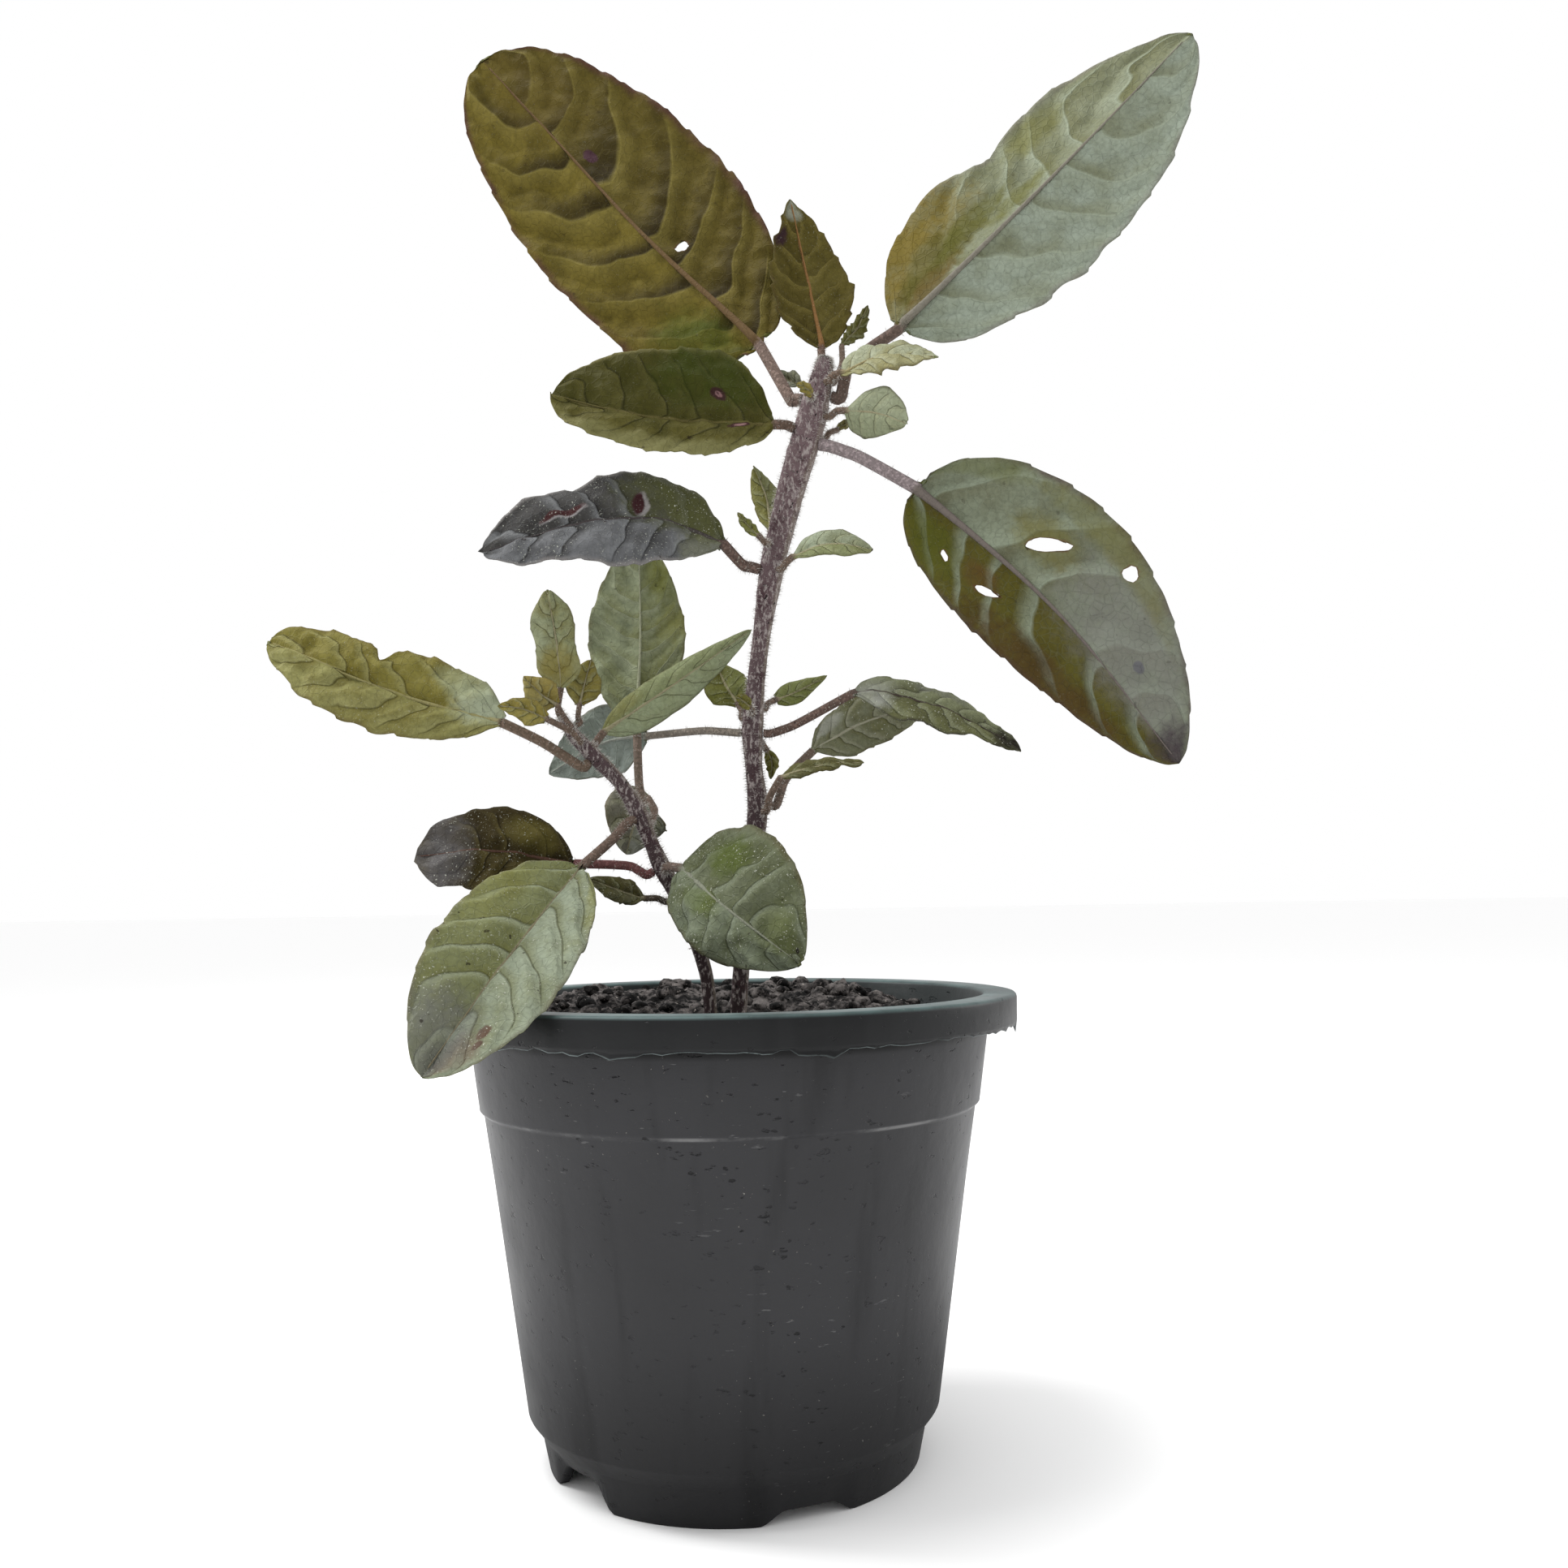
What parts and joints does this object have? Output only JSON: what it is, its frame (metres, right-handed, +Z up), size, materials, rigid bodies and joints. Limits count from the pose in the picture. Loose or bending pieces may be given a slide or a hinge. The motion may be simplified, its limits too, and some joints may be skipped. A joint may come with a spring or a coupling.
{
  "type": "potted holy basil plant",
  "caption": "A leafy holy basil plant with leaning stems, rooted in potting mix in a round tapered nursery pot that stands on its foot ring.",
  "frame": {"origin": "on the ground, under the middle of the pot, which is also the middle of the bounding box's base", "axes": "+Z up along the pot's axis, +X to the right and -Y to the front as the plant is seen"},
  "size_m": [0.2172, 0.13, 0.3425],
  "materials": {
    "pot_plastic": "satin",
    "potting_mix": "matte",
    "stem_bark": "matte",
    "leaf_olive": "matte",
    "leaf_dark": "matte",
    "leaf_pale": "matte",
    "leaf_green": "matte",
    "leaf_young": "matte"
  },
  "bodies": {
    "root": {"pot": "pot_plastic", "potting_mix": "potting_mix", "stem_main": "stem_bark", "stem_side": "stem_bark", "leaf_crown_left": "leaf_olive", "leaf_crown_back": "leaf_olive", "leaf_crown_bud_right": "leaf_olive", "leaf_upper_left": "leaf_olive", "leaf_upper_axil_back": "leaf_olive", "leaf_lower_axil_left": "leaf_olive", "leaf_lower_axil_back": "leaf_olive", "leaf_middle_left": "leaf_dark", "leaf_side_dark": "leaf_dark", "leaf_side_small": "leaf_dark", "leaf_crown_right": "leaf_pale", "leaf_upper_right": "leaf_pale", "leaf_upper_axil_front": "leaf_pale", "leaf_crown_bud_left": "leaf_pale", "leaf_middle_axil_back": "leaf_pale", "leaf_middle_axil_right": "leaf_pale", "leaf_lower_left": "leaf_pale", "leaf_side_upright": "leaf_pale", "leaf_side_back": "leaf_pale", "leaf_side_long": "leaf_pale", "leaf_tip_upright": "leaf_pale", "leaf_side_hanging": "leaf_pale", "leaf_side_front": "leaf_pale", "leaf_lower_right": "leaf_green", "leaf_bottom_right": "leaf_green", "leaf_bottom_front": "leaf_green", "leaf_lower_axil_right": "leaf_green", "leaf_lower_axil_front": "leaf_green", "leaf_middle_axil_left": "leaf_green", "leaf_side_left": "leaf_green", "leaf_crown_front": "leaf_young", "leaf_crown_bud_front": "leaf_young", "leaf_tip_left": "leaf_young", "leaf_tip_right": "leaf_young", "leaf_tip_front": "leaf_young"}
  },
  "joints": []
}
